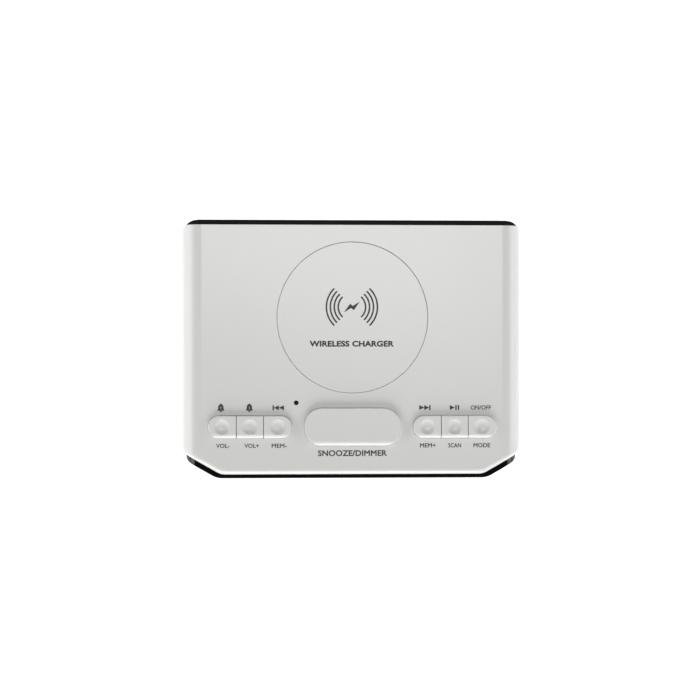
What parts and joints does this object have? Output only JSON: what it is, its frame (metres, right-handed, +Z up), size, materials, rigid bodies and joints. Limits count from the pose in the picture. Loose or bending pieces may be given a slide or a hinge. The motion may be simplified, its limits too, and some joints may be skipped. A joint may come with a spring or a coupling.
{
  "type": "clock radio",
  "caption": "Bedside clock radio: white wrap-round case, faceted black front with a digit display, phone charging pad, wide snooze bar and two banks of push keys on top",
  "frame": {"origin": "middle of the footprint, on the surface the feet stand on", "axes": "+X to the right of a user facing the display, +Y from the display to the sockets, +Z up"},
  "size_m": [0.165, 0.1244, 0.0639],
  "materials": {
    "white_shell": "fine satin",
    "white_pad": "fine satin",
    "white_keys": "satin",
    "black_matte": "matte",
    "black_satin": "satin",
    "black_gloss": "high gloss",
    "smoked_lens": "polished",
    "rubber_black": "matte",
    "switch_body": "satin",
    "plunger_grey": "satin",
    "circuit_board": "lacquered",
    "grey_plastic": "matte",
    "module_black": "matte",
    "segment_glow": "diffusing",
    "chip_black": "matte",
    "capacitor_sleeve": "satin",
    "shield_tin": "brushed",
    "socket_black": "satin",
    "socket_white": "satin",
    "nickel": "bright",
    "coil_copper": "enamelled",
    "ferrite": "matte",
    "cable_white": "satin",
    "screw_black": "satin",
    "screw_zinc": "bright zinc",
    "basket_steel": "satin",
    "magnet_grey": "dull plated",
    "cone_paper": "matte",
    "legend_ink": "matt pad print",
    "acoustic_cloth": "fine open weave",
    "segment_off": "unlit diffuser",
    "label_plate": "blank satin label",
    "light_ink": "matt pad print"
  },
  "bodies": {
    "case": {"antenna_gland": "rubber_black", "aux_jack": "socket_black", "board_screws": "screw_zinc", "cable_plugs": "socket_white", "capacitors": "capacitor_sleeve", "case_screws": "screw_black", "cell_contact": "nickel", "charge_socket_shell": "nickel", "charge_socket_tongue": "socket_white", "charger_board": "circuit_board", "charger_coil": "coil_copper", "charging_pad": "white_pad", "chips": "chip_black", "coil_tray": "grey_plastic", "coin_cell": "nickel", "dc_jack": "socket_black", "dc_jack_pin": "nickel", "digit_module": "module_black", "digit_segments": "segment_glow", "display_board": "circuit_board", "display_lens": "smoked_lens", "ferrite_sheet": "ferrite", "flat_cables": "cable_white", "front_baffle": "grey_plastic", "front_bezel": "black_gloss", "key_board": "circuit_board", "left_speaker_basket": "basket_steel", "left_speaker_magnet": "magnet_grey", "left_speaker_surround": "rubber_black", "lower_case": "black_matte", "main_board": "circuit_board", "microphone": "black_matte", "radio_module": "shield_tin", "rear_cover": "black_satin", "rear_screws": "screw_black", "right_speaker_basket": "basket_steel", "right_speaker_magnet": "magnet_grey", "right_speaker_surround": "rubber_black", "rubber_feet": "rubber_black", "speaker_screws": "screw_zinc", "tact_switches": "switch_body", "upper_case": "white_shell"},
    "snooze": {"snooze_bar": "white_keys", "snooze_plunger": "plunger_grey"},
    "vol_down": {"vol_down_key": "white_keys", "vol_down_plunger": "plunger_grey"},
    "vol_up": {"vol_up_key": "white_keys", "vol_up_plunger": "plunger_grey"},
    "mem_down": {"mem_down_key": "white_keys", "mem_down_plunger": "plunger_grey"},
    "mem_up": {"mem_up_key": "white_keys", "mem_up_plunger": "plunger_grey"},
    "scan": {"scan_key": "white_keys", "scan_plunger": "plunger_grey"},
    "mode": {"mode_key": "white_keys", "mode_plunger": "plunger_grey"},
    "battery_cap": {"battery_cap": "black_matte"},
    "left_cone": {"left_speaker_cone": "cone_paper"},
    "right_cone": {"right_speaker_cone": "cone_paper"}
  },
  "joints": [
    {"name": "snooze_press", "type": "slide", "parent": "case", "child": "snooze", "axis": [0, 0, -1], "range_m": [0, 0.0005], "stiffness_N_per_m": 400, "springref_m": -0.001},
    {"name": "vol_down_press", "type": "slide", "parent": "case", "child": "vol_down", "axis": [0, 0, -1], "range_m": [0, 0.0005], "stiffness_N_per_m": 400, "springref_m": -0.001},
    {"name": "vol_up_press", "type": "slide", "parent": "case", "child": "vol_up", "axis": [0, 0, -1], "range_m": [0, 0.0005], "stiffness_N_per_m": 400, "springref_m": -0.001},
    {"name": "mem_down_press", "type": "slide", "parent": "case", "child": "mem_down", "axis": [0, 0, -1], "range_m": [0, 0.0005], "stiffness_N_per_m": 400, "springref_m": -0.001},
    {"name": "mem_up_press", "type": "slide", "parent": "case", "child": "mem_up", "axis": [0, 0, -1], "range_m": [0, 0.0005], "stiffness_N_per_m": 400, "springref_m": -0.001},
    {"name": "scan_press", "type": "slide", "parent": "case", "child": "scan", "axis": [0, 0, -1], "range_m": [0, 0.0005], "stiffness_N_per_m": 400, "springref_m": -0.001},
    {"name": "mode_press", "type": "slide", "parent": "case", "child": "mode", "axis": [0, 0, -1], "range_m": [0, 0.0005], "stiffness_N_per_m": 400, "springref_m": -0.001},
    {"name": "battery_cap_turn", "type": "hinge", "parent": "case", "child": "battery_cap", "pos_m": [-0.036, 0.018, 0.002], "axis": [0, 0, 1], "range_deg": [0, 35]},
    {"name": "left_cone_stroke", "type": "slide", "parent": "case", "child": "left_cone", "axis": [0, -1, 0], "range_m": [-0.0006, 0.0006], "stiffness_N_per_m": 900, "deforming": ["left_speaker_surround"]},
    {"name": "right_cone_stroke", "type": "slide", "parent": "case", "child": "right_cone", "axis": [0, -1, 0], "range_m": [-0.0006, 0.0006], "stiffness_N_per_m": 900, "deforming": ["right_speaker_surround"]}
  ]
}
